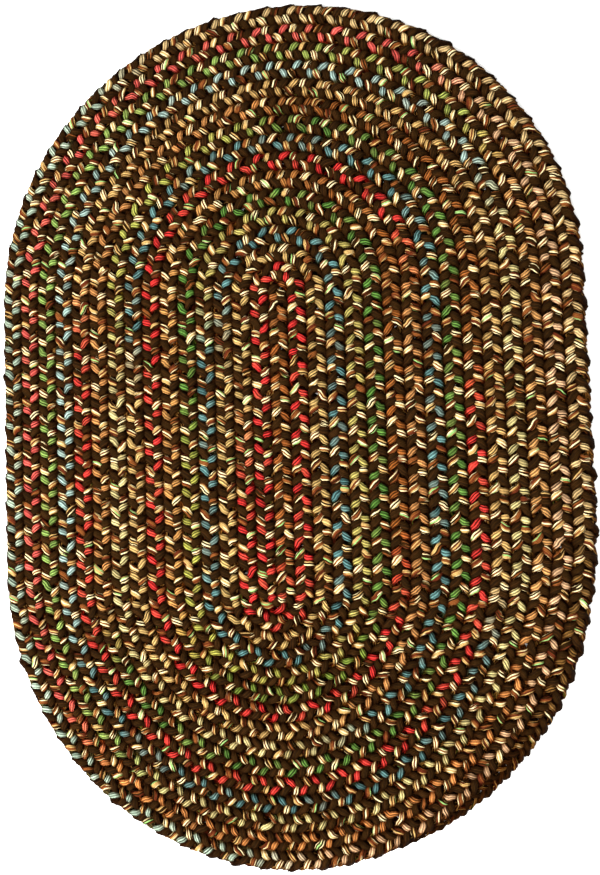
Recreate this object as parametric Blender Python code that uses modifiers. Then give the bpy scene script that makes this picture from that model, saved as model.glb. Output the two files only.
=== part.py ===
"""Oval braided rug: one flat three-strand braid, wound into an oval coil and laced edge to edge.

The braid starts at the upper end of a straight row in the middle, runs down that row, and is then
wound clockwise, seen from above, until its tail is thinned out and sewn down at the lower right.
The coil is one solid: a ridge for each row on top, the hollows between rows where they are laced,
and a flat underside. Metres, +Z up, +Y along the rug, origin at the middle of its underside.
"""

import math

import bmesh
import bpy

# Driving dimensions, in metres.
ROW_PITCH = 0.0197  # width of one row of braid on the straight sides
THICKNESS = 0.012  # of the braid, over its crown
START_LENGTH = 0.317  # straight row in the middle, which sets how long the oval is
TURNS = 15  # whole turns round that row, before the tail

# How the rows bend at the two ends of the oval.
UPPER_CLOSENESS = 0.988  # row pitch at the upper end, as a share of ROW_PITCH
LOWER_CLOSENESS = 0.921  # and at the lower end, where the rows are laced tighter
SOONER_RIGHT = 0.066  # how much sooner the outermost row starts its lower bend on the right
SOONER_LEFT = 0.032  # and on the left

# The tail: where, round the lower right bend, the last row starts to thin and where it ends. Both
# are whole steps of BEND_STEP, so that its sections meet those of the row inside it.
TAIL_FROM = math.radians(30)
TAIL_TO = math.radians(75)

# Section of one row.
LACING_DEPTH = 0.0035  # hollow between two rows, below their crowns
SHOULDER_DROP = 0.0008  # halfway between the crown and the hollow
RIM_ROUND = 0.003  # rounding of the lower rim
RIM_ROUND_STEPS = 2
RIM_ANGLE = math.radians(80)  # only the lower rim turns more sharply than this

# Facets.
BEND_STEP = math.radians(7.5)  # angle between two sections of a bend
ACROSS_STEPS = 4  # hollow, shoulder, crown, shoulder, hollow
WELD = 1e-6  # points of neighbouring rows that are one point

# Worked out from the above.
HALF_START = START_LENGTH / 2
HOLLOW_HEIGHT = THICKNESS - LACING_DEPTH
LOWER_RADIUS = TURNS * ROW_PITCH
UPPER_RADIUS = (TURNS + 0.5) * ROW_PITCH
UPPER_REACH = HALF_START + UPPER_CLOSENESS * UPPER_RADIUS
LOWER_REACH = HALF_START + LOWER_CLOSENESS * LOWER_RADIUS
CENTRE_Y = (UPPER_REACH - LOWER_REACH) / 2


def upper_bend(radius, angle):
    """A point on the upper bends, which share one centre: the upper end of the middle row."""
    return radius * math.cos(angle), HALF_START + UPPER_CLOSENESS * radius * math.sin(angle)


def lower_bend(radius, angle):
    """A point on the lower bends, whose centre lies between the first two rows."""
    on_right = angle > -math.pi / 2
    sooner = (SOONER_RIGHT if on_right else SOONER_LEFT) * radius / LOWER_RADIUS
    depth = LOWER_CLOSENESS * radius + sooner
    return radius * math.cos(angle) - ROW_PITCH / 2, sooner - HALF_START + depth * math.sin(angle)


def start_section(angle):
    """A section of the rounded end with which the middle row starts."""
    width = math.cos(angle)
    y = upper_bend(ROW_PITCH / 2, angle)[1]
    return lambda across: (across * width * ROW_PITCH, y), width


def upper_section(turn, angle):
    return lambda across: upper_bend((turn + 1 + across) * ROW_PITCH, angle), 1.0


def lower_section(turn, angle):
    return lambda across: lower_bend((turn + 0.5 + across) * ROW_PITCH, angle), 1.0


def tail_section(angle):
    """A section of the last row, thinned towards its end but always against the row inside it."""
    thinned = (-angle - TAIL_FROM) / (TAIL_TO - TAIL_FROM)
    width = 1.0 - min(max(thinned, 0.0), 1.0)
    return lambda across: lower_bend((TURNS + (across + 0.5) * width) * ROW_PITCH, angle), width


def bend_angles(start, end):
    """Evenly spaced angles from start to end, both included."""
    steps = round(abs(end - start) / BEND_STEP)
    return [start + (end - start) * step / steps for step in range(steps + 1)]


def braid_sections():
    """Every section of the braid, from its start to the tip of its tail.

    The straight runs need none of their own: they join the end of one bend to the start of the next.
    """
    sections = [start_section(angle) for angle in bend_angles(math.pi / 2, 0)]
    for turn in range(TURNS):
        sections += [lower_section(turn, angle) for angle in bend_angles(0, -math.pi)]
        sections += [upper_section(turn, angle) for angle in bend_angles(math.pi, 0)]
    sections += [tail_section(angle) for angle in bend_angles(0, -TAIL_TO)]
    return sections


def section_height(across, width):
    """Height of the braid's upper side, for a place across it from -0.5 to 0.5."""
    off_crown = abs(across) * 2
    shoulder = THICKNESS - SHOULDER_DROP
    if off_crown <= 0.5:
        full = THICKNESS - SHOULDER_DROP * off_crown * 2
    else:
        full = shoulder - (shoulder - HOLLOW_HEIGHT) * (off_crown - 0.5) * 2
    return HOLLOW_HEIGHT + (full - HOLLOW_HEIGHT) * width


def wind_braid(mesh):
    """A grid with a column for each section, wound into the coil and welded along the lacing."""
    sections = braid_sections()
    bmesh.ops.create_grid(mesh, x_segments=len(sections) - 1, y_segments=ACROSS_STEPS, size=0.5)
    for vertex in mesh.verts:
        section, width = sections[round((vertex.co.x + 0.5) * (len(sections) - 1))]
        across = vertex.co.y
        x, y = section(across)
        vertex.co = (x, y - CENTRE_Y, section_height(across, width))
    bmesh.ops.remove_doubles(mesh, verts=mesh.verts, dist=WELD)


def close_underside(mesh):
    """The outer side of the last rows, taken down to the floor, and the flat underside."""
    rim = [edge for edge in mesh.edges if edge.is_boundary]
    side = bmesh.ops.extrude_edge_only(mesh, edges=rim)["geom"]
    for vertex in (item for item in side if isinstance(item, bmesh.types.BMVert)):
        vertex.co.z = 0.0
    foot = [item for item in side if isinstance(item, bmesh.types.BMEdge) and item.is_boundary]
    bmesh.ops.edgeloop_fill(mesh, edges=foot)
    bmesh.ops.recalc_face_normals(mesh, faces=mesh.faces)


def braid_material():
    """Dark brown knitted cover of wool blend, the colour that most of the strands share."""
    material = bpy.data.materials.new("wool_blend_braid")
    material.use_nodes = True
    surface = material.node_tree.nodes["Principled BSDF"]
    surface.inputs["Base Color"].default_value = (0.072, 0.034, 0.015, 1.0)
    surface.inputs["Roughness"].default_value = 0.95
    surface.inputs["Metallic"].default_value = 0.0
    return material


def braided_rug(collection):
    mesh = bpy.data.meshes.new("braided_rug")
    coil = bmesh.new()
    wind_braid(coil)
    close_underside(coil)
    coil.to_mesh(mesh)
    coil.free()
    mesh.materials.append(braid_material())
    rug = bpy.data.objects.new("braided_rug", mesh)
    collection.objects.link(rug)
    rounding = rug.modifiers.new("rounded lower rim", "BEVEL")
    rounding.width = RIM_ROUND
    rounding.segments = RIM_ROUND_STEPS
    rounding.limit_method = "ANGLE"
    rounding.angle_limit = RIM_ANGLE
    mesh.shade_smooth()
    mesh.set_sharp_from_angle(angle=math.radians(40))
    return rug


def main():
    for old in list(bpy.data.objects):
        bpy.data.objects.remove(old)
    collection = bpy.data.collections.new("braided_rug")
    bpy.context.scene.collection.children.link(collection)
    braided_rug(collection)


main()
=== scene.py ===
"""Looks of an oval braided rug.

Three yarn strands, one space-dyed, one dark and one streaked, are plaited flat along the coil of
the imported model, row beside row, and take the place of its plain solid. Metres, +Z up, +Y along
the rug, origin at the middle of its underside.
"""

import math
from typing import NamedTuple

import bpy
import numpy as np
from bpy.props import (
    FloatProperty,
    FloatVectorProperty,
    IntProperty,
    PointerProperty,
)
from mathutils import Matrix, Vector


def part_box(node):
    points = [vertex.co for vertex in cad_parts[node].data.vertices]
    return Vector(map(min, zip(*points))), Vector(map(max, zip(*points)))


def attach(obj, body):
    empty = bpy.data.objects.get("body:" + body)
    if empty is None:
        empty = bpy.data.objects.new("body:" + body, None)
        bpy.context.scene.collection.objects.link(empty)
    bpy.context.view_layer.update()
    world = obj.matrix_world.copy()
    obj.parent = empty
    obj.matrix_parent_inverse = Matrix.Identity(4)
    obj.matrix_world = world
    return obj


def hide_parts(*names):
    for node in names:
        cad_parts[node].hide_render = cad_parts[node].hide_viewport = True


bl_info = {
    "name": "Oval Braided Rug",
    "version": (1, 0, 0),
    "blender": (4, 5, 0),
    "location": "View3D > Sidebar > Braided Rug",
    "description": "Plaits three yarn strands into the oval coil of a braided rug",
    "category": "Add Mesh",
}

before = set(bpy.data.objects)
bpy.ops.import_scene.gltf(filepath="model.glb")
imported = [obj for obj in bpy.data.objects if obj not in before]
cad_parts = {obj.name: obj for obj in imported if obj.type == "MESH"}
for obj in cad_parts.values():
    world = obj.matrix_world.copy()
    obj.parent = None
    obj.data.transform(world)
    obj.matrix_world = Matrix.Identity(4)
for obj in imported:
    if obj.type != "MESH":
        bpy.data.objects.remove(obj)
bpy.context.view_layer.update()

# The coil, as the solid has it.
COIL = "braided_rug"
TURNS = 15  # whole turns round the middle row, before the tail
ROWS_ACROSS = 2 * TURNS + 1
UPPER_CLOSENESS = 0.988  # row pitch at the upper end, as a share of the pitch on the straights
LOWER_CLOSENESS = 0.921  # and at the lower end, where the rows are laced tighter
SOONER_RIGHT = 0.066  # how much sooner the outermost row starts its lower bend on the right
SOONER_LEFT = 0.032  # and on the left
TAIL_FROM = math.radians(30)  # where, round the lower right bend, the last row starts to thin
TAIL_TO = math.radians(75)  # and where it ends

# Worked out from those and from the solid's own corners.
LOW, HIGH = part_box(COIL)
ROW_PITCH = (HIGH.x - LOW.x) / ROWS_ACROSS
THICKNESS = HIGH.z - LOW.z
UPPER_RISE = UPPER_CLOSENESS * (TURNS + 0.5) * ROW_PITCH
LOWER_RISE = LOWER_CLOSENESS * TURNS * ROW_PITCH
HALF_START = (HIGH.y - LOW.y - UPPER_RISE - LOWER_RISE) / 2
CENTRE_Y = (UPPER_RISE - LOWER_RISE) / 2

# Facets of the strands.
BEND_STEP = math.radians(2)  # angle between two sections of a bend
STEPS_A_REPEAT = 19  # along a strand, for each repeat of the plait
STRAND_SIDES = 10
CROWDING = 0.2  # how much closer the points are on top than below
SEAM = 0.001  # turns round the strand, from its seam, that count as on it


class Strand(NamedTuple):
    """One of the three strands of the plait."""

    name: str
    place: float  # in the plait, in repeats of it
    size_on_top: float  # share of the width and thickness of a strand
    size_below: float


SPACE_DYED = Strand("space_dyed_strand", place=0.0, size_on_top=0.88, size_below=1.8)
DARK = Strand("dark_strand", place=1 / 3, size_on_top=1.03, size_below=2.5)
STREAKED = Strand("streaked_strand", place=2 / 3, size_on_top=0.95, size_below=1.9)

# The two lengths that make up each strand, and the shares of the braid where they start and end.
LENGTHS = (("inner", (0.0, 0.5)), ("outer", (0.5, 1.0)))

# How a strand lies in the plait.
BOW = 0.6  # how far a strand bows out to the edge of its row on its way below; 1 for a plain sine
TOP_RATE = 3.0  # how soon a strand runs straight, once it comes up
UNDER_RATE = 2.5  # how soon a strand has the size that it has below, once it goes down
STEEPNESS = 0.4  # 1 for a plain wave up and down, less for a steeper turn at the edge
SINK = 1.5  # how far a strand sinks below, where the floor flattens it, to how far it rises on top
TIGHTNESS = 0.1  # how much shorter the turn at the edge is, along the row, than in a loose plait
SLANT = 0.13  # how much more squarely a strand crosses its row on top than it does below
PINCH = 0.6  # share of its size that a strand keeps where it crosses or turns
FILLING = 0.5  # 1 for a strand that fills out as a wave rises, less for one that does so sooner
DRIFTS_A_METRE = 11.0  # how often the plait's repeat is now longer, now shorter
DRIFT_TURNS = 4.0  # repeats by which it drifts, for an unevenness of 1
LUMPS_A_METRE = 95.0  # how often a strand is now thicker, now thinner
LUMP_SIZE = 3.0  # how much thicker or thinner, for an unevenness of 1
THINNEST = 0.1  # share of its width that a strand keeps at the tip of the tail
TAIL_SINK = 0.35  # height of that tip's middle, as a share of the middle height elsewhere
SOFT_HEIGHT = 0.0012  # height over the floor below which a strand is squeezed flat
UP = (0.0, 0.0, 1.0)
SLIGHTLY_UP = (0.0, 0.0, 0.02)  # which way a strand faces where the braid has no width

# How the yarns lie round a strand.
YARNS_AROUND = 14.0
STRAND_TWIST = 3.0  # turns of the yarns round the strand, in a metre of it
LEAN = 0.1  # turns round the strand by which the yarns keep straight at each edge
WANDERS_A_METRE = 90.0  # how often a yarn strays to one side or the other
WANDER = 0.08  # and how far, in turns round the strand
RUN_SHIFT = 7.0  # how many runs, at most, the runs of one yarn start after those of another
POINTEDNESS = 0.4  # of the ends of a run of one colour, as a share of the run
DYED_RUN = 0.03  # length of a space-dyed yarn that has one depth of dye
DARK_RUN = 0.03  # length of one colour in the dark strand
STREAKED_RUN = 0.022  # and in the streaked strand

# How a yarn takes the light.
FIBRES_A_METRE = 620.0
FIBRE_CONTRAST = 1.5  # how much lighter a fibre is than what lies between it and the next
FIBRE_RELIEF = 0.35  # height of the fibres, as a share of that of a yarn's crown
YARN_RELIEF = 0.0006  # height of a yarn's crown over the crease
RELIEF_STRENGTH = 0.9  # share of that relief that the light shows
CREASE_SHADE = 0.6  # how much darker the painted shade makes the crease between two yarns
CROWN_SHARPNESS = 0.7  # 1 for painted shade that falls off like a wave, less for a broader painted light crown
YARN_ROUGHNESS = 0.92  # dull, as wool is
YARN_GLOSS = 0.02  # specular level: hairy yarn has next to no highlight
PAINTED_DEEP_SHADE = "#7C5E3C"  # painted shade: the colour that tints and darkens yarn halfway down between the strands
PAINTED_DEEP_SHADE_ON_DARK = "#D6C09C"  # and on dark yarn, which the painted shade darkens less
SHADE_FROM = 0.22 * THICKNESS  # distance from the middle height at which the painted shade starts to lighten
SHADE_TO = 0.48 * THICKNESS  # and at which the yarn has its own colour, with no painted shade
RAMP_STEP = 0.008  # the finest step that a colour ramp keeps apart

# Names of what a strand's mesh carries, and of the tree that makes it.
ALONG = "along_braid"
ACROSS = "across_row"
AROUND = "around_strand"
DYE = "dye"
RUN = "run_of_strand"
YARN_LEAN = "lean_of_yarns"
YARN_MAP = "UVMap"
PLAIT_TREE = "plaited_strand"

# Kinds of node that the trees use again and again.
MATH = "ShaderNodeMath"
VECTOR = "ShaderNodeVectorMath"
NOISE = "ShaderNodeTexNoise"
ATTRIBUTE = "GeometryNodeInputNamedAttribute"
STORE = "GeometryNodeStoreNamedAttribute"

# Depths of dye: the yarns' colours, as shares of the strand's colour at that place.
DEEPEST = 0.12  # the darkest that a yarn gets
DEPTH_VARIES = 0.5  # how much lighter the next run of the same yarn may be
EVERY_SECOND_PALER = 0.85  # how much lighter every second yarn is
GRAIN_VARIES = 0.38  # how much more or less dye one grain of the braid takes than the next
UNDYED = 0.22  # share of undyed yarn in a grain, at most
UNDYED_COLOUR = "#A67C4A"

# The space-dyed strand from the middle of the rug outwards: the row widths of braid at which each
# colour starts, and the colour. One round of dyes is rust, red, tan, blue, khaki and green.
BRAID_LENGTH_IN_ROWS = 1240  # a little more than the whole braid
DYE_FADE = 4.0  # row widths over which one dye runs into the next
DYE_RUNS = (
    # (row widths from the start, colour)
    (0, "#925224"),  # rust
    (15, "#C4302C"),  # red
    (66, "#BC9A5C"),  # tan
    (117, "#507572"),  # teal blue
    (170, "#A89A52"),  # khaki
    (205, "#93903E"),  # khaki green
    (222, "#4E7430"),  # green
    (262, "#66782E"),  # olive green
    (275, "#B47F44"),  # pale rust
    (303, "#8A4E20"),  # rust
    (327, "#C4302C"),  # red
    (384, "#B87E48"),  # pale rust
    (410, "#C09C5E"),  # tan
    (436, "#567A76"),  # teal blue
    (490, "#C6B57A"),  # cream
    (520, "#A0A04A"),  # lime khaki
    (535, "#547834"),  # green
    (592, "#BA7E46"),  # pale rust
    (625, "#8E5224"),  # rust
    (647, "#C83830"),  # red
    (704, "#C0985A"),  # tan
    (756, "#4C6E6C"),  # deep teal blue
    (786, "#8CA49A"),  # pale blue
    (838, "#C0B074"),  # cream khaki
    (885, "#7C984A"),  # lime green
    (933, "#929A4A"),  # khaki green
    (945, "#C08A50"),  # pale rust
    (970, "#BA763E"),  # orange
    (1000, "#CE544A"),  # coral red
    (1056, "#D0A47A"),  # pinkish tan
    (1105, "#9CAE98"),  # pale aqua
    (1158, "#CAAA74"),  # tan
    (1202, "#6A4A22"),  # brown, at the tail
)

# The stage.
FLOOR_HALF = 6.0  # half a side of the floor
FLOOR_COLOUR = "#F4F4F2"
FLOOR_ROUGHNESS = 0.9
FLOOR_GLOW = 0.1  # the little light of its own that makes it as white as in the photo
WHITE = (1.0, 1.0, 1.0, 1.0)
AIR_LIGHT = 0.86  # strength of the even white light from all round
LAMPS = (
    # (name, place, side of the lamp in metres, watts)
    ("key_light", (-1.1, -0.62, 1.6), 0.9, 88.0),
    ("fill_light", (0.3, -1.1, 1.8), 1.6, 27.0),
)
CAMERA_PLACE = Vector((0.1930, -0.0747, 0.9755))
CAMERA_AIM = Vector((0.0190, -0.0120, 0.008))
CAMERA_UP = Vector((0.0429, 0.9975, 0.0569))
CAMERA_LENS = 39.48  # millimetres, on a sensor 36 mm wide
CAMERA_SENSOR = 36.0


def linear(colour):
    """The linear red, green and blue of an sRGB hex colour."""
    shares = [int(colour[place:place + 2], 16) / 255 for place in (1, 3, 5)]
    return [s / 12.92 if s <= 0.04045 else ((s + 0.055) / 1.055) ** 2.4 for s in shares]


class RugSizes(bpy.types.PropertyGroup):
    """Sizes of the plait and its strands."""

    repeat: FloatProperty(
        name="Plait Repeat",
        description="Length of braid in which a strand goes from one edge to the other and back",
        default=1.42 * ROW_PITCH,
        unit="LENGTH",
    )
    swing: FloatProperty(
        name="Sideways Swing",
        description="How far a strand swings from the middle of its row, as a share of the row",
        default=0.44,
        subtype="FACTOR",
    )
    rise: FloatProperty(
        name="Over and Under",
        description="How far a strand rises and falls from the middle of the thickness",
        default=0.3 * THICKNESS,
        unit="LENGTH",
    )
    strand_width: FloatProperty(
        name="Strand Width",
        description="Width of one strand, lying flat in the braid",
        default=0.40 * ROW_PITCH,
        unit="LENGTH",
    )
    strand_thickness: FloatProperty(
        name="Strand Thickness",
        description="Thickness of one strand, lying flat in the braid",
        default=0.5 * THICKNESS,
        unit="LENGTH",
    )
    unevenness: FloatProperty(
        name="Unevenness",
        description="How much the plait's repeat and the strands' thickness vary",
        default=0.08,
        subtype="FACTOR",
    )
    seed: IntProperty(
        name="Seed",
        description="Which of the uneven plaits is made",
        default=7,
    )


def yarn_colour(name, description, colour):
    """A colour that a user would change, given as an sRGB hex value."""
    default = linear(colour)
    return FloatVectorProperty(name=name, description=description, subtype="COLOR", default=default)


class YarnColours(bpy.types.PropertyGroup):
    """Colours of the yarns that aren't space-dyed."""

    darkest: yarn_colour("Darkest", "Nearly black brown of the dark strand", "#211306")
    dark: yarn_colour("Dark", "Dark brown in the dark and the streaked strand", "#291806")
    chestnut_black: yarn_colour("Chestnut Black", "Warmer dark yarn in the dark strand", "#321D09")
    cream: yarn_colour("Cream", "Undyed yarn in the streaked strand", "#F2DFA8")
    brown: yarn_colour("Brown", "Warm brown yarn in the streaked strand", "#7C4620")
    tan: yarn_colour("Tan", "Light brown yarn in the streaked strand", "#C09A5C")
    wine: yarn_colour("Wine", "Reddish dark yarn in the streaked strand", "#5C2814")
    moss: yarn_colour("Moss", "Green yarn that now and then shows", "#8FB86A")


def upper_bend(radius, angle):
    """A point on the upper bends, which share one centre: the upper end of the middle row."""
    return radius * math.cos(angle), HALF_START + UPPER_CLOSENESS * radius * math.sin(angle)


def lower_bend(radius, angle):
    """A point on the lower bends, whose centre lies between the first two rows."""
    on_right = angle > -math.pi / 2
    sooner = (SOONER_RIGHT if on_right else SOONER_LEFT) * radius / (TURNS * ROW_PITCH)
    depth = LOWER_CLOSENESS * radius + sooner
    return radius * math.cos(angle) - ROW_PITCH / 2, sooner - HALF_START + depth * math.sin(angle)


def start_section(angle):
    """Across the rounded end with which the middle row starts."""
    y = upper_bend(ROW_PITCH / 2, angle)[1]
    return lambda across: (across * math.cos(angle) * ROW_PITCH, y)


def upper_section(turn, angle):
    """Across one turn of the braid, in its upper bend."""
    return lambda across: upper_bend((turn + 1 + across) * ROW_PITCH, angle)


def lower_section(turn, angle):
    """Across one turn of the braid, in its lower bend."""
    return lambda across: lower_bend((turn + 0.5 + across) * ROW_PITCH, angle)


def tail_section(angle):
    """Across the last row, thinned towards its end but always against the row inside it."""
    thinned = (-angle - TAIL_FROM) / (TAIL_TO - TAIL_FROM)
    width = 1.0 - min(max(thinned, 0.0), 1.0)
    return lambda across: lower_bend((TURNS + (across + 0.5) * width) * ROW_PITCH, angle)


def bend_angles(start, end):
    """Evenly spaced angles from start to end, both included."""
    return np.linspace(start, end, round(abs(end - start) / BEND_STEP) + 1)


def braid_sections():
    """Every section across the braid, from its start to the tip of its tail."""
    sections = [start_section(angle) for angle in bend_angles(math.pi / 2, 0)]
    for turn in range(TURNS):
        sections += [lower_section(turn, angle) for angle in bend_angles(0, -math.pi)]
        sections += [upper_section(turn, angle) for angle in bend_angles(math.pi, 0)]
    return sections + [tail_section(angle) for angle in bend_angles(0, -TAIL_TO)]


def braid_path(spacing, part):
    """One part of the braid's middle line as an edge mesh, with its length so far and its width.

    A part is the shares of the braid's whole length at which it starts and ends.
    """
    edges = np.array([[section(side) for side in (-0.5, 0, 0.5)] for section in braid_sections()])
    middle = edges[:, 1] - (0, CENTRE_Y)
    width = edges[:, 2] - edges[:, 0]
    steps = np.linalg.norm(np.diff(middle, axis=0), axis=1)
    along = np.concatenate([[0], np.cumsum(steps)])
    count = round(along[-1] / spacing)
    start, end = (round(share * count) for share in part)
    places = np.linspace(0, along[-1], count + 1)[start:end + 1]
    points = np.zeros((len(places), 3))
    across = np.zeros((len(places), 3))
    for axis in (0, 1):
        points[:, axis] = np.interp(places, along, middle[:, axis])
        across[:, axis] = np.interp(places, along, width[:, axis])
    mesh = bpy.data.meshes.new("braid_path")
    links = [(i, i + 1) for i in range(len(places) - 1)]
    mesh.from_pydata(points, links, [])
    mesh.attributes.new(ALONG, "FLOAT", "POINT").data.foreach_set("value", places)
    mesh.attributes.new(ACROSS, "FLOAT_VECTOR", "POINT").data.foreach_set("vector", across.ravel())
    return mesh


def add_node(tree, kind, sockets=(), **settings):
    """Adds a node with its settings and returns its outputs.

    Its sockets get a value or a link each: a row of them in order, or a dictionary by name or number.
    """
    made = tree.nodes.new(kind)
    for name, value in settings.items():
        setattr(made, name, value)
    for key, value in sockets.items() if isinstance(sockets, dict) else enumerate(sockets):
        if isinstance(value, bpy.types.NodeSocket):
            tree.links.new(value, made.inputs[key])
        else:
            made.inputs[key].default_value = value
    return made.outputs


def strand_inputs(tree):
    """The tree's own sockets, and the outputs inside it that give what comes in."""
    face = tree.interface
    face.new_socket("Geometry", in_out="OUTPUT", socket_type="NodeSocketGeometry")
    face.new_socket("Geometry", in_out="INPUT", socket_type="NodeSocketGeometry")
    for name in (
        "Plait Repeat",
        "Place in the Plait",
        "Sideways Swing",
        "Over and Under",
        "Strand Width",
        "Strand Thickness",
        "Size on Top",
        "Size Below",
        "Unevenness",
    ):
        face.new_socket(name, in_out="INPUT", socket_type="NodeSocketFloat")
    face.new_socket("Seed", in_out="INPUT", socket_type="NodeSocketInt")
    face.new_socket("Yarn", in_out="INPUT", socket_type="NodeSocketMaterial")
    return add_node(tree, "NodeGroupInput")


class Waves(NamedTuple):
    """Node outputs that say where a strand is on its way through the plait."""

    phase: bpy.types.NodeSocket  # angle, 0 in the middle of the row and a quarter turn at its edge
    sine: bpy.types.NodeSocket  # 1 at the outer edge of the row, -1 at the inner edge
    over: bpy.types.NodeSocket  # 1 where the strand lies on top, -1 where it lies below
    below: bpy.types.NodeSocket  # 0 on top, 1 once it is below
    slip: bpy.types.NodeSocket  # how far its points are slipped along the braid


def plait_waves(tree, given, along):
    """How far a strand is through the plait, which drifts a little.

    The points are crowded where the strand lies on top, and slip along so that it crosses squarely.
    """
    place = add_node(tree, MATH, (along, DRIFTS_A_METRE, given["Seed"]), operation="MULTIPLY_ADD")[0]
    drift = add_node(tree, NOISE, {"W": place, "Detail": 1.0}, noise_dimensions="1D")[0]
    drift = add_node(tree, MATH, (drift, 0.5), operation="SUBTRACT")[0]
    drift = add_node(tree, MATH, (drift, given["Unevenness"]), operation="MULTIPLY")[0]
    turns = add_node(tree, MATH, (along, given["Plait Repeat"]), operation="DIVIDE")[0]
    turns = add_node(tree, MATH, (turns, given["Place in the Plait"]), operation="ADD")[0]
    turns = add_node(tree, MATH, (drift, DRIFT_TURNS, turns), operation="MULTIPLY_ADD")[0]
    even = add_node(tree, MATH, (turns, math.tau), operation="MULTIPLY")[0]
    double = add_node(tree, MATH, (even, 2.0), operation="MULTIPLY")[0]
    crowd = add_node(tree, MATH, (double,), operation="COSINE")[0]
    slip = add_node(tree, MATH, (crowd, given["Plait Repeat"]), operation="MULTIPLY")[0]
    slip = add_node(tree, MATH, (slip, (CROWDING + SLANT) / math.tau), operation="MULTIPLY")[0]
    phase = add_node(tree, MATH, (crowd, CROWDING, even), operation="MULTIPLY_ADD")[0]
    sine = add_node(tree, MATH, (phase,), operation="SINE")[0]
    double = add_node(tree, MATH, (phase, 2.0), operation="MULTIPLY")[0]
    over = add_node(tree, MATH, (double,), operation="SINE")[0]
    below = (over, -UNDER_RATE, 0.0)
    below = add_node(tree, MATH, below, operation="MULTIPLY_ADD", use_clamp=True)[0]
    return Waves(phase, sine, over, below, slip)


def swing_sideways(tree, given, waves):
    """How far aside a strand is, as a share of its row.

    On top it runs straight from the middle of the row to its edge; below it is bowed.
    """
    straight = add_node(tree, MATH, (waves.sine,), operation="ARCSINE")[0]
    straight = add_node(tree, MATH, (straight, 2 / math.pi), operation="MULTIPLY")[0]
    on_top = (waves.over, TOP_RATE, 0.5)
    on_top = add_node(tree, MATH, on_top, operation="MULTIPLY_ADD", use_clamp=True)[0]
    bowed = add_node(tree, MATH, (waves.sine,), operation="ABSOLUTE")[0]
    bowed = add_node(tree, MATH, (bowed, BOW), operation="POWER")[0]
    side = add_node(tree, MATH, (waves.sine,), operation="SIGN")[0]
    bowed = add_node(tree, MATH, (bowed, side), operation="MULTIPLY")[0]
    sideways = {0: on_top, 2: bowed, 3: straight}
    sideways = add_node(tree, "ShaderNodeMix", sideways, data_type="FLOAT")[0]
    return add_node(tree, MATH, (sideways, given["Sideways Swing"]), operation="MULTIPLY")[0]


def plait_height(tree, given, waves, share):
    """How high the middle of a strand is; the share is the row's width, to that of a full row."""
    side = add_node(tree, MATH, (waves.over,), operation="SIGN")[0]
    rise = add_node(tree, MATH, (waves.over,), operation="ABSOLUTE")[0]
    rise = add_node(tree, MATH, (rise, STEEPNESS), operation="POWER")[0]
    rise = add_node(tree, MATH, (rise, side), operation="MULTIPLY")[0]
    deeper = add_node(tree, MATH, (waves.below, SINK - 1, 1.0), operation="MULTIPLY_ADD")[0]
    rise = add_node(tree, MATH, (rise, deeper), operation="MULTIPLY")[0]
    rise = add_node(tree, MATH, (rise, given["Over and Under"]), operation="MULTIPLY")[0]
    rise = add_node(tree, MATH, (rise, share), operation="MULTIPLY")[0]
    middle = (share, (1 - TAIL_SINK) * THICKNESS / 2, TAIL_SINK * THICKNESS / 2)
    middle = add_node(tree, MATH, middle, operation="MULTIPLY_ADD")[0]
    return add_node(tree, MATH, (rise, middle), operation="ADD")[0]


def plait_offset(tree, given, waves, across, forwards, share):
    """How far each point lies from the braid's middle line: sideways, along and up."""
    aside = {0: across, "Scale": swing_sideways(tree, given, waves)}
    aside = add_node(tree, VECTOR, aside, operation="SCALE")[0]
    reach = add_node(tree, MATH, (waves.over, given["Plait Repeat"]), operation="MULTIPLY")[0]
    ahead = (reach, TIGHTNESS / math.tau, waves.slip)
    ahead = add_node(tree, MATH, ahead, operation="MULTIPLY_ADD")[0]
    ahead = add_node(tree, VECTOR, {0: forwards, "Scale": ahead}, operation="SCALE")[0]
    offset = add_node(tree, VECTOR, (aside, ahead), operation="ADD")[0]
    height = {"Z": plait_height(tree, given, waves, share)}
    height = add_node(tree, "ShaderNodeCombineXYZ", height)[0]
    return add_node(tree, VECTOR, (offset, height), operation="ADD")[0]


def strand_size(tree, given, along, waves, share):
    """A strand is pinched where it crosses or turns, and plump between; no two passes are alike."""
    plump = add_node(tree, MATH, (waves.over,), operation="ABSOLUTE")[0]
    plump = add_node(tree, MATH, (plump, FILLING), operation="POWER")[0]
    plump = add_node(tree, MATH, (plump, 1 - PINCH, PINCH), operation="MULTIPLY_ADD")[0]
    fullness = {0: waves.below, 2: given["Size on Top"], 3: given["Size Below"]}
    fullness = add_node(tree, "ShaderNodeMix", fullness, data_type="FLOAT")[0]
    plump = add_node(tree, MATH, (plump, fullness), operation="MULTIPLY")[0]
    place = (along, LUMPS_A_METRE, given["Place in the Plait"])
    place = add_node(tree, MATH, place, operation="MULTIPLY_ADD")[0]
    lump = add_node(tree, NOISE, {"W": place, "Detail": 0.0}, noise_dimensions="1D")[0]
    lump = add_node(tree, MATH, (lump, 0.5), operation="SUBTRACT")[0]
    lump = add_node(tree, MATH, (lump, given["Unevenness"]), operation="MULTIPLY")[0]
    size = add_node(tree, MATH, (lump, LUMP_SIZE, plump), operation="MULTIPLY_ADD")[0]
    thinned = add_node(tree, MATH, (share, THINNEST), operation="MAXIMUM")[0]
    return add_node(tree, MATH, (size, thinned), operation="MULTIPLY")[0]


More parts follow.
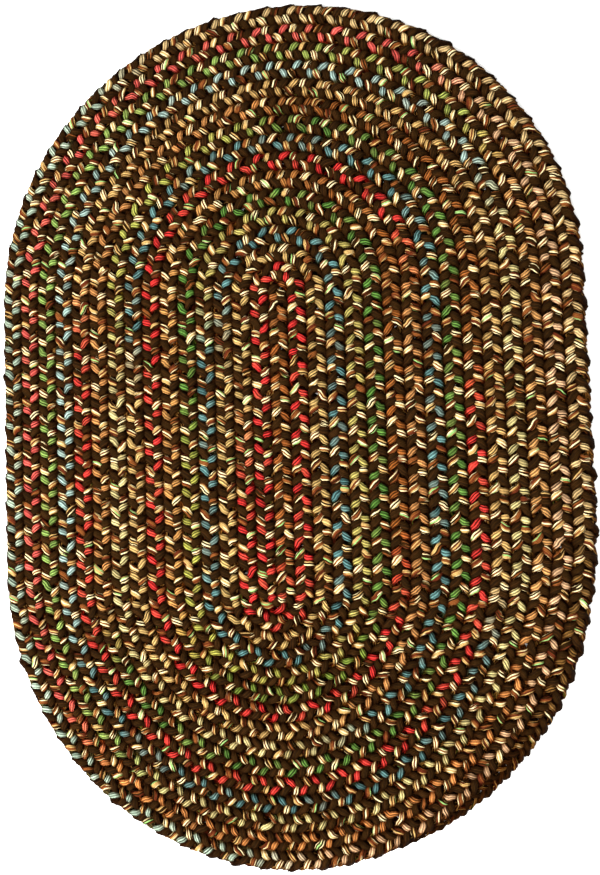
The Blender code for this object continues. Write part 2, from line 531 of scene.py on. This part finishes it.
def strand_ring(tree, given):
    """The flattened round section, which knows how far round each of its points is."""
    ring = {"Resolution": STRAND_SIDES, "Radius": 0.5}
    ring = add_node(tree, "GeometryNodeCurvePrimitiveCircle", ring)["Curve"]
    factor = add_node(tree, "GeometryNodeSplineParameter")["Factor"]
    ring = {"Geometry": ring, "Name": AROUND, "Value": factor}
    ring = add_node(tree, STORE, ring, data_type="FLOAT", domain="POINT")[0]
    shape = (given["Strand Thickness"], given["Strand Width"], 1.0)
    shape = add_node(tree, "ShaderNodeCombineXYZ", shape)[0]
    return add_node(tree, "GeometryNodeTransform", {"Geometry": ring, "Scale": shape})[0]


def rest_on_floor(tree, strand):
    """Soft strands flatten where they rest: what would be lower than the floor is squeezed on it.

    Up to SOFT_HEIGHT a height becomes SOFT_HEIGHT * exp(height / SOFT_HEIGHT - 1), which keeps what
    lies lowest the lowest.
    """
    place = add_node(tree, "GeometryNodeInputPosition")[0]
    place = add_node(tree, "ShaderNodeSeparateXYZ", (place,))
    above = add_node(tree, MATH, (place["Z"], SOFT_HEIGHT), operation="SUBTRACT")[0]
    above = add_node(tree, MATH, (above, 0.0), operation="MAXIMUM")[0]
    low = add_node(tree, MATH, (place["Z"], SOFT_HEIGHT), operation="MINIMUM")[0]
    low = add_node(tree, MATH, (low, 1 / SOFT_HEIGHT, -1.0), operation="MULTIPLY_ADD")[0]
    low = add_node(tree, MATH, (low,), operation="EXPONENT")[0]
    height = add_node(tree, MATH, (low, SOFT_HEIGHT, above), operation="MULTIPLY_ADD")[0]
    place = add_node(tree, "ShaderNodeCombineXYZ", (place["X"], place["Y"], height))[0]
    return add_node(tree, "GeometryNodeSetPosition", {"Geometry": strand, "Position": place})[0]


def map_yarns(tree, strand):
    """The yarn map: metres along the strand, and turns round it.

    A face past the seam has points at 0 and others near 1, so the middle of it is far round. Its
    points at 0 are taken as 1.
    """
    around = add_node(tree, ATTRIBUTE, {"Name": AROUND}, data_type="FLOAT")[0]
    face = {"Value": around}
    face = add_node(tree, "GeometryNodeFieldOnDomain", face, domain="FACE", data_type="FLOAT")[0]
    at_seam = add_node(tree, MATH, (around, SEAM), operation="LESS_THAN")[0]
    past_seam = add_node(tree, MATH, (face, 2.0 / STRAND_SIDES), operation="GREATER_THAN")[0]
    around = add_node(tree, MATH, (at_seam, past_seam, around), operation="MULTIPLY_ADD")[0]
    lean = add_node(tree, ATTRIBUTE, {"Name": YARN_LEAN}, data_type="FLOAT")[0]
    around = add_node(tree, MATH, (around, lean), operation="ADD")[0]
    run = add_node(tree, ATTRIBUTE, {"Name": RUN}, data_type="FLOAT")[0]
    place = add_node(tree, "ShaderNodeCombineXYZ", (run, around))[0]
    mapped = {"Geometry": strand, "Name": YARN_MAP, "Value": place}
    return add_node(tree, STORE, mapped, data_type="FLOAT2", domain="CORNER")[0]


def sweep_strand(tree, given, offset, facing, size, lean):
    """The braid's path moved to where the strand lies, and its section swept along it."""
    curve = add_node(tree, "GeometryNodeMeshToCurve", {"Mesh": given["Geometry"]})[0]
    curve = add_node(tree, "GeometryNodeSetPosition", {"Geometry": curve, "Offset": offset})[0]
    curve = {"Curve": curve, "Normal": facing}
    curve = add_node(tree, "GeometryNodeSetCurveNormal", curve, mode="FREE")[0]
    run = add_node(tree, "GeometryNodeSplineParameter")["Length"]
    for name, value in ((RUN, run), (YARN_LEAN, lean)):
        curve = {"Geometry": curve, "Name": name, "Value": value}
        curve = add_node(tree, STORE, curve, data_type="FLOAT", domain="POINT")[0]
    ring = strand_ring(tree, given)
    strand = {"Curve": curve, "Profile Curve": ring, "Scale": size, "Fill Caps": True}
    return add_node(tree, "GeometryNodeCurveToMesh", strand)[0]


def strand_tree():
    """Geometry nodes that plait one strand along the braid's path and give it its yarn map."""
    tree = bpy.data.node_groups.new(PLAIT_TREE, "GeometryNodeTree")
    given = strand_inputs(tree)
    along = add_node(tree, ATTRIBUTE, {"Name": ALONG}, data_type="FLOAT")[0]
    across = add_node(tree, ATTRIBUTE, {"Name": ACROSS}, data_type="FLOAT_VECTOR")[0]
    share = add_node(tree, VECTOR, (across,), operation="LENGTH")["Value"]
    share = add_node(tree, MATH, (share, ROW_PITCH), operation="DIVIDE")[0]
    forwards = add_node(tree, VECTOR, (across, UP), operation="CROSS_PRODUCT")[0]
    forwards = add_node(tree, VECTOR, (forwards,), operation="NORMALIZE")[0]
    waves = plait_waves(tree, given, along)
    offset = plait_offset(tree, given, waves, across, forwards, share)
    size = strand_size(tree, given, along, waves, share)
    # A flat strand turns over the edge as a belt turns over a roller that lies along the row.
    heading = add_node(tree, "GeometryNodeInputTangent")[0]
    facing = add_node(tree, VECTOR, (forwards, heading), operation="CROSS_PRODUCT")[0]
    facing = add_node(tree, VECTOR, (facing, SLIGHTLY_UP), operation="ADD")[0]
    # The yarns don't turn with the strand: they lie straight along each pass.
    lean = add_node(tree, MATH, (waves.phase,), operation="COSINE")[0]
    lean = add_node(tree, MATH, (lean, LEAN), operation="MULTIPLY")[0]
    strand = sweep_strand(tree, given, offset, facing, size, lean)
    strand = map_yarns(tree, rest_on_floor(tree, strand))
    strand = {"Geometry": strand, "Shade Smooth": True}
    strand = add_node(tree, "GeometryNodeSetShadeSmooth", strand)[0]
    strand = add_node(tree, "GeometryNodeRealizeInstances", {"Geometry": strand})[0]
    strand = {"Geometry": strand, "Material": given["Yarn"]}
    strand = add_node(tree, "GeometryNodeSetMaterial", strand)[0]
    add_node(tree, "NodeGroupOutput", {"Geometry": strand})
    return tree


def plait_strand(strand, yarn, length, part):
    """One length of a strand, made by the tree and then turned into a plain mesh."""
    sizes = bpy.context.scene.rug_sizes
    tree = bpy.data.node_groups.get(PLAIT_TREE) or strand_tree()
    path = bpy.data.objects.new("braid_path", braid_path(sizes.repeat / STEPS_A_REPEAT, part))
    bpy.context.scene.collection.objects.link(path)
    plait = path.modifiers.new("plait", "NODES")
    plait.node_group = tree
    values = {
        "Plait Repeat": sizes.repeat,
        "Place in the Plait": strand.place,
        "Sideways Swing": sizes.swing,
        "Over and Under": sizes.rise,
        "Strand Width": sizes.strand_width,
        "Strand Thickness": sizes.strand_thickness,
        "Size on Top": strand.size_on_top,
        "Size Below": strand.size_below,
        "Unevenness": sizes.unevenness,
        "Seed": sizes.seed,
        "Yarn": yarn,
    }
    for socket in tree.interface.items_tree:
        if socket.in_out == "INPUT" and socket.name in values:
            plait[socket.identifier] = values[socket.name]
    evaluated = path.evaluated_get(bpy.context.evaluated_depsgraph_get())
    mesh = bpy.data.meshes.new_from_object(evaluated)
    mesh.name = f"{strand.name}_{length}"
    piece = bpy.data.objects.new(mesh.name, mesh)
    bpy.context.scene.collection.objects.link(piece)
    bpy.data.objects.remove(path)
    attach(piece, "root")
    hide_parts(COIL)
    return piece


def dye_at(rows):
    """The linear colour of the space-dyed strand, some row widths of braid from its start."""
    starts = [start for start, colour in DYE_RUNS]
    ends = starts[1:] + [math.inf]
    colours = [linear(colour) for start, colour in DYE_RUNS]
    # Each run has its colour from where the last one has faded out to where the next one fades in.
    knots = np.ravel([(start + DYE_FADE / 2, end - DYE_FADE / 2) for start, end in zip(starts, ends)])
    tones = np.repeat(colours, 2, axis=0)
    return np.stack([np.interp(rows, knots[:-1], tones[:-1, channel]) for channel in range(3)], axis=1)


def dye_strand(strand):
    """Writes the dye that each point of the strand took up, from how far along the braid it is."""
    mesh = strand.data
    along = np.zeros(len(mesh.vertices), np.float32)
    mesh.attributes[ALONG].data.foreach_get("value", along)
    # No two grains of the braid take the same depth of dye.
    sizes = bpy.context.scene.rug_sizes
    grains = 2 * along / sizes.repeat
    marks = np.arange(math.ceil(BRAID_LENGTH_IN_ROWS * 2 * ROW_PITCH / sizes.repeat) + 2)
    chance = np.random.default_rng(sizes.seed)
    depth = np.interp(grains, marks, chance.uniform(1 - GRAIN_VARIES, 1 + GRAIN_VARIES, len(marks)))
    undyed = np.interp(grains, marks, chance.uniform(-UNDYED, UNDYED, len(marks))).clip(0)
    taken = np.ones((len(along), 4), np.float32)
    taken[:, :3] = dye_at(along / ROW_PITCH)
    taken[:, :3] *= (depth * (1 - undyed))[:, None]
    taken[:, :3] += undyed[:, None] * linear(UNDYED_COLOUR)
    mesh.attributes.new(DYE, "FLOAT_COLOR", "POINT").data.foreach_set("color", taken.ravel())


class YarnLay(NamedTuple):
    """Node outputs that say where a point is among the yarns of its strand."""

    number: bpy.types.NodeSocket  # of the yarn
    across: bpy.types.NodeSocket  # 0 at one side of the yarn, 1 at the other
    along: bpy.types.NodeSocket  # metres along the strand
    place: bpy.types.NodeSocket  # of the point, in the rug


def yarn_lay(tree):
    """The yarns lie side by side round the strand, with a slight twist, and stray a little."""
    mapped = add_node(tree, "ShaderNodeUVMap", uv_map=YARN_MAP)[0]
    mapped = add_node(tree, "ShaderNodeSeparateXYZ", (mapped,))
    along = mapped[0]
    place = add_node(tree, "ShaderNodeTexCoord")["Object"]
    wander = {"Vector": place, "Scale": WANDERS_A_METRE, "Detail": 1.0}
    wander = add_node(tree, NOISE, wander)[0]
    wander = add_node(tree, MATH, (wander, 0.5), operation="SUBTRACT")[0]
    turned = add_node(tree, MATH, (along, STRAND_TWIST, mapped[1]), operation="MULTIPLY_ADD")[0]
    lane = add_node(tree, MATH, (wander, WANDER, turned), operation="MULTIPLY_ADD")[0]
    lane = add_node(tree, MATH, (lane, YARNS_AROUND), operation="MULTIPLY")[0]
    lane = add_node(tree, MATH, (lane, YARNS_AROUND, 0.0), operation="WRAP")[0]
    number = add_node(tree, MATH, (lane,), operation="FLOOR")[0]
    across = add_node(tree, MATH, (lane,), operation="FRACT")[0]
    return YarnLay(number, across, along, place)


def yarn_chance(tree, lay, run, salt):
    """A number from 0 to 1 for each run of each yarn, the same each time; a run ends in a point.

    The run is its length in metres, and another salt gives other numbers.
    """
    key = add_node(tree, MATH, (lay.number, salt), operation="ADD")[0]
    shift = add_node(tree, "ShaderNodeTexWhiteNoise", {"W": key}, noise_dimensions="1D")[0]
    aside = add_node(tree, MATH, (lay.across, 0.5), operation="SUBTRACT")[0]
    aside = add_node(tree, MATH, (aside,), operation="ABSOLUTE")[0]
    stretch = add_node(tree, MATH, (lay.along, run), operation="DIVIDE")[0]
    stretch = add_node(tree, MATH, (shift, RUN_SHIFT, stretch), operation="MULTIPLY_ADD")[0]
    stretch = add_node(tree, MATH, (aside, POINTEDNESS, stretch), operation="MULTIPLY_ADD")[0]
    stretch = add_node(tree, MATH, (stretch,), operation="FLOOR")[0]
    key = add_node(tree, "ShaderNodeCombineXYZ", (lay.number, stretch, salt))[0]
    return add_node(tree, "ShaderNodeTexWhiteNoise", {"Vector": key}, noise_dimensions="3D")[0]


def every_second(tree, lay):
    """1 on every second yarn round the strand, 0 on the others."""
    return add_node(tree, MATH, (lay.number, 2.0), operation="MODULO")[0]


def painted_shade_between_strands(tree, place, painted_deep_shade):
    """Painted shade on a point: white outside, and dark and warm between the strands."""
    facing = add_node(tree, "ShaderNodeTexCoord")["Normal"]
    facing = add_node(tree, "ShaderNodeSeparateXYZ", (facing,))[2]
    facing = add_node(tree, MATH, (facing,), operation="SIGN")[0]
    height = add_node(tree, "ShaderNodeSeparateXYZ", (place,))[2]
    height = add_node(tree, MATH, (height, THICKNESS / 2), operation="SUBTRACT")[0]
    height = add_node(tree, MATH, (height, facing), operation="MULTIPLY")[0]
    lightness = (height, SHADE_FROM, SHADE_TO)
    lightness = add_node(tree, "ShaderNodeMapRange", lightness, interpolation_type="SMOOTHSTEP")[0]
    light = {0: lightness, 6: (*linear(painted_deep_shade), 1.0), 7: WHITE}
    return add_node(tree, "ShaderNodeMix", light, data_type="RGBA")[2]


def yarn_finish(tree, lay, colour, painted_deep_shade):
    """What every strand shares: painted shade in its creases and between strands, fibres, a rough,
    dull face.
    """
    # 0 in the crease between two yarns, 1 on the crown of a yarn.
    crown = add_node(tree, MATH, (lay.across, math.pi), operation="MULTIPLY")[0]
    crown = add_node(tree, MATH, (crown,), operation="SINE")[0]
    fibres = {"Vector": lay.place, "Scale": FIBRES_A_METRE, "Detail": 3.0, "Roughness": 0.6}
    fibres = add_node(tree, NOISE, fibres)[0]
    # Painted shade: each yarn's colour is darkened towards the creases beside it and kept full on its
    # crown.
    shade = add_node(tree, MATH, (crown, CROWN_SHARPNESS), operation="POWER")[0]
    shade = add_node(tree, MATH, (shade, CREASE_SHADE, 1 - CREASE_SHADE), operation="MULTIPLY_ADD")[0]
    speckle = (fibres, FIBRE_CONTRAST, 1 - FIBRE_CONTRAST / 2)
    speckle = add_node(tree, MATH, speckle, operation="MULTIPLY_ADD")[0]
    shade = add_node(tree, MATH, (shade, speckle), operation="MULTIPLY")[0]
    # Painted shade: darker and warmer deep between the strands, where little light gets down.
    light = painted_shade_between_strands(tree, lay.place, painted_deep_shade)
    shaded = add_node(tree, VECTOR, (light, colour), operation="MULTIPLY")[0]
    shaded = add_node(tree, VECTOR, {0: shaded, "Scale": shade}, operation="SCALE")[0]
    height = add_node(tree, MATH, (fibres, FIBRE_RELIEF, crown), operation="MULTIPLY_ADD")[0]
    relief = {"Height": height, "Strength": RELIEF_STRENGTH, "Distance": YARN_RELIEF}
    relief = add_node(tree, "ShaderNodeBump", relief)[0]
    surface = tree.nodes["Principled BSDF"]
    tree.links.new(shaded, surface.inputs["Base Color"])
    tree.links.new(relief, surface.inputs["Normal"])
    surface.inputs["Roughness"].default_value = YARN_ROUGHNESS
    surface.inputs["Specular IOR Level"].default_value = YARN_GLOSS


def new_material(name):
    """A material with nothing but its shader."""
    material = bpy.data.materials.new(name)
    material.use_nodes = True
    return material


def space_dyed_yarn():
    """Space-dyed wool blend: bright, soft-edged colour, as each yarn takes more dye or less."""
    material = new_material("space_dyed_wool_blend")
    tree = material.node_tree
    lay = yarn_lay(tree)
    dye = add_node(tree, "ShaderNodeAttribute", attribute_name=DYE)["Color"]
    depth = yarn_chance(tree, lay, DYED_RUN, salt=1.0)
    depth = add_node(tree, MATH, (depth, DEPTH_VARIES, DEEPEST), operation="MULTIPLY_ADD")[0]
    depth = (every_second(tree, lay), EVERY_SECOND_PALER, depth)
    depth = add_node(tree, MATH, depth, operation="MULTIPLY_ADD")[0]
    dyed = add_node(tree, VECTOR, {0: dye, "Scale": depth}, operation="SCALE")[0]
    yarn_finish(tree, lay, dyed, PAINTED_DEEP_SHADE)
    return material


def mixed_yarns(name, run, painted_deep_shade, shares, salt):
    """Yarns of several colours side by side, each share of them a property of the yarn colours.

    The first colour is never on two yarns side by side.
    """
    material = new_material(name)
    tree = material.node_tree
    lay = yarn_lay(tree)
    pick = yarn_chance(tree, lay, run, salt)
    past_first = (every_second(tree, lay), shares[0][1] + RAMP_STEP)
    past_first = add_node(tree, MATH, past_first, operation="MULTIPLY")[0]
    rest = add_node(tree, MATH, (1.0, past_first), operation="SUBTRACT")[0]
    pick = add_node(tree, MATH, (pick, rest, past_first), operation="MULTIPLY_ADD")[0]
    mix = add_node(tree, "ShaderNodeValToRGB", (pick,))[0]
    ramp = mix.node.color_ramp
    ramp.interpolation = "CONSTANT"
    ramp.elements.remove(ramp.elements[1])
    place = 0.0
    for index, (colour, part) in enumerate(shares):
        stop = ramp.elements[0] if index == 0 else ramp.elements.new(place)
        stop.color = (*getattr(bpy.context.scene.yarn_colours, colour), 1.0)
        place += part
    yarn_finish(tree, lay, mix, painted_deep_shade)
    return material


def dark_yarn():
    """Dark wool blend: nearly black brown, dull, with a few warmer yarns that just show."""
    shares = (("darkest", 0.5), ("dark", 0.3), ("chestnut_black", 0.2))
    return mixed_yarns("dark_wool_blend", DARK_RUN, PAINTED_DEEP_SHADE_ON_DARK, shares, salt=2.0)


def streaked_yarn():
    """Mixed wool blend: cream lines that catch the eye between brown and dark ones, rarely green."""
    shares = (
        ("cream", 0.4),
        ("dark", 0.18),
        ("brown", 0.16),
        ("tan", 0.12),
        ("wine", 0.12),
        ("moss", 0.02),
    )
    return mixed_yarns("streaked_wool_blend", STREAKED_RUN, PAINTED_DEEP_SHADE, shares, salt=3.0)


class RUG_OT_plait(bpy.types.Operator):
    """Plait the three strands along the coil"""

    bl_idname = "braided_rug.plait"
    bl_label = "Plait the Strands"

    def execute(self, context):
        dyed_yarn = space_dyed_yarn()
        others = ((DARK, dark_yarn()), (STREAKED, streaked_yarn()))
        for length, part in LENGTHS:
            dyed = plait_strand(SPACE_DYED, dyed_yarn, length, part)
            dye_strand(dyed)
            beside = [plait_strand(strand, yarn, length, part) for strand, yarn in others]
        return {"FINISHED"}


def add_camera():
    """The camera at the photo's angle, a little to the right of the rug's middle."""
    data = bpy.data.cameras.new("camera")
    data.sensor_width = CAMERA_SENSOR
    data.lens = CAMERA_LENS
    camera = bpy.data.objects.new("camera", data)
    back = (CAMERA_PLACE - CAMERA_AIM).normalized()
    right = CAMERA_UP.cross(back).normalized()
    turned = Matrix((right, back.cross(right), back)).transposed()
    camera.matrix_world = Matrix.Translation(CAMERA_PLACE) @ turned.to_4x4()
    bpy.context.scene.collection.objects.link(camera)
    bpy.context.scene.camera = camera


def add_light(name, place, size, power):
    """A square lamp that faces the middle of the rug."""
    data = bpy.data.lights.new(name, "AREA")
    data.size = size
    data.energy = power
    lamp = bpy.data.objects.new(name, data)
    lamp.location = place
    lamp.rotation_mode = "QUATERNION"
    lamp.rotation_quaternion = Vector(place).to_track_quat("Z", "Y")
    bpy.context.scene.collection.objects.link(lamp)


def studio_paper():
    """Matt white studio paper: white without a highlight."""
    material = new_material("matt_white_paper")
    surface = material.node_tree.nodes["Principled BSDF"]
    surface.inputs["Base Color"].default_value = (*linear(FLOOR_COLOUR), 1.0)
    surface.inputs["Roughness"].default_value = FLOOR_ROUGHNESS
    surface.inputs["Emission Color"].default_value = WHITE
    surface.inputs["Emission Strength"].default_value = FLOOR_GLOW
    return material


def add_floor():
    """The pale floor on which the rug lies."""
    corners = [(x * FLOOR_HALF, y * FLOOR_HALF, 0) for x, y in ((-1, -1), (1, -1), (1, 1), (-1, 1))]
    mesh = bpy.data.meshes.new("studio_floor")
    mesh.from_pydata(corners, [], [(0, 1, 2, 3)])
    mesh.materials.append(studio_paper())
    floor = bpy.data.objects.new("studio_floor", mesh)
    bpy.context.scene.collection.objects.link(floor)


def add_air():
    """Even white light from all round."""
    world = bpy.data.worlds.new("studio_air")
    world.use_nodes = True
    air = world.node_tree.nodes["Background"]
    air.inputs["Color"].default_value = WHITE
    air.inputs["Strength"].default_value = AIR_LIGHT
    bpy.context.scene.world = world


class RUG_OT_stage(bpy.types.Operator):
    """Lay the floor and set the lights and the camera"""

    bl_idname = "braided_rug.stage"
    bl_label = "Set the Stage"

    def execute(self, context):
        add_floor()
        for lamp in LAMPS:
            add_light(*lamp)
        add_air()
        context.scene.view_settings.view_transform = "Standard"
        add_camera()
        return {"FINISHED"}


class RUG_PT_panel(bpy.types.Panel):
    """Lists the rug's sizes, colours and steps"""

    bl_idname = "RUG_PT_panel"
    bl_label = "Braided Rug"
    bl_space_type = "VIEW_3D"
    bl_region_type = "UI"
    bl_category = "Braided Rug"

    def draw(self, context):
        layout = self.layout
        for group in (context.scene.rug_sizes, context.scene.yarn_colours):
            for name in group.__annotations__:
                layout.prop(group, name)
        for step in (RUG_OT_plait, RUG_OT_stage):
            layout.operator(step.bl_idname)


CLASSES = (RugSizes, YarnColours, RUG_OT_plait, RUG_OT_stage, RUG_PT_panel)


def register():
    """Makes the sizes, colours, steps and panel known to Blender."""
    for kind in CLASSES:
        bpy.utils.register_class(kind)
    bpy.types.Scene.rug_sizes = PointerProperty(type=RugSizes)
    bpy.types.Scene.yarn_colours = PointerProperty(type=YarnColours)


def unregister():
    """Takes them out again."""
    del bpy.types.Scene.yarn_colours
    del bpy.types.Scene.rug_sizes
    for kind in reversed(CLASSES):
        bpy.utils.unregister_class(kind)


def main():
    """Makes the rug and its stage."""
    register()
    bpy.ops.braided_rug.plait()
    bpy.ops.braided_rug.stage()


if __name__ == "__main__":
    main()
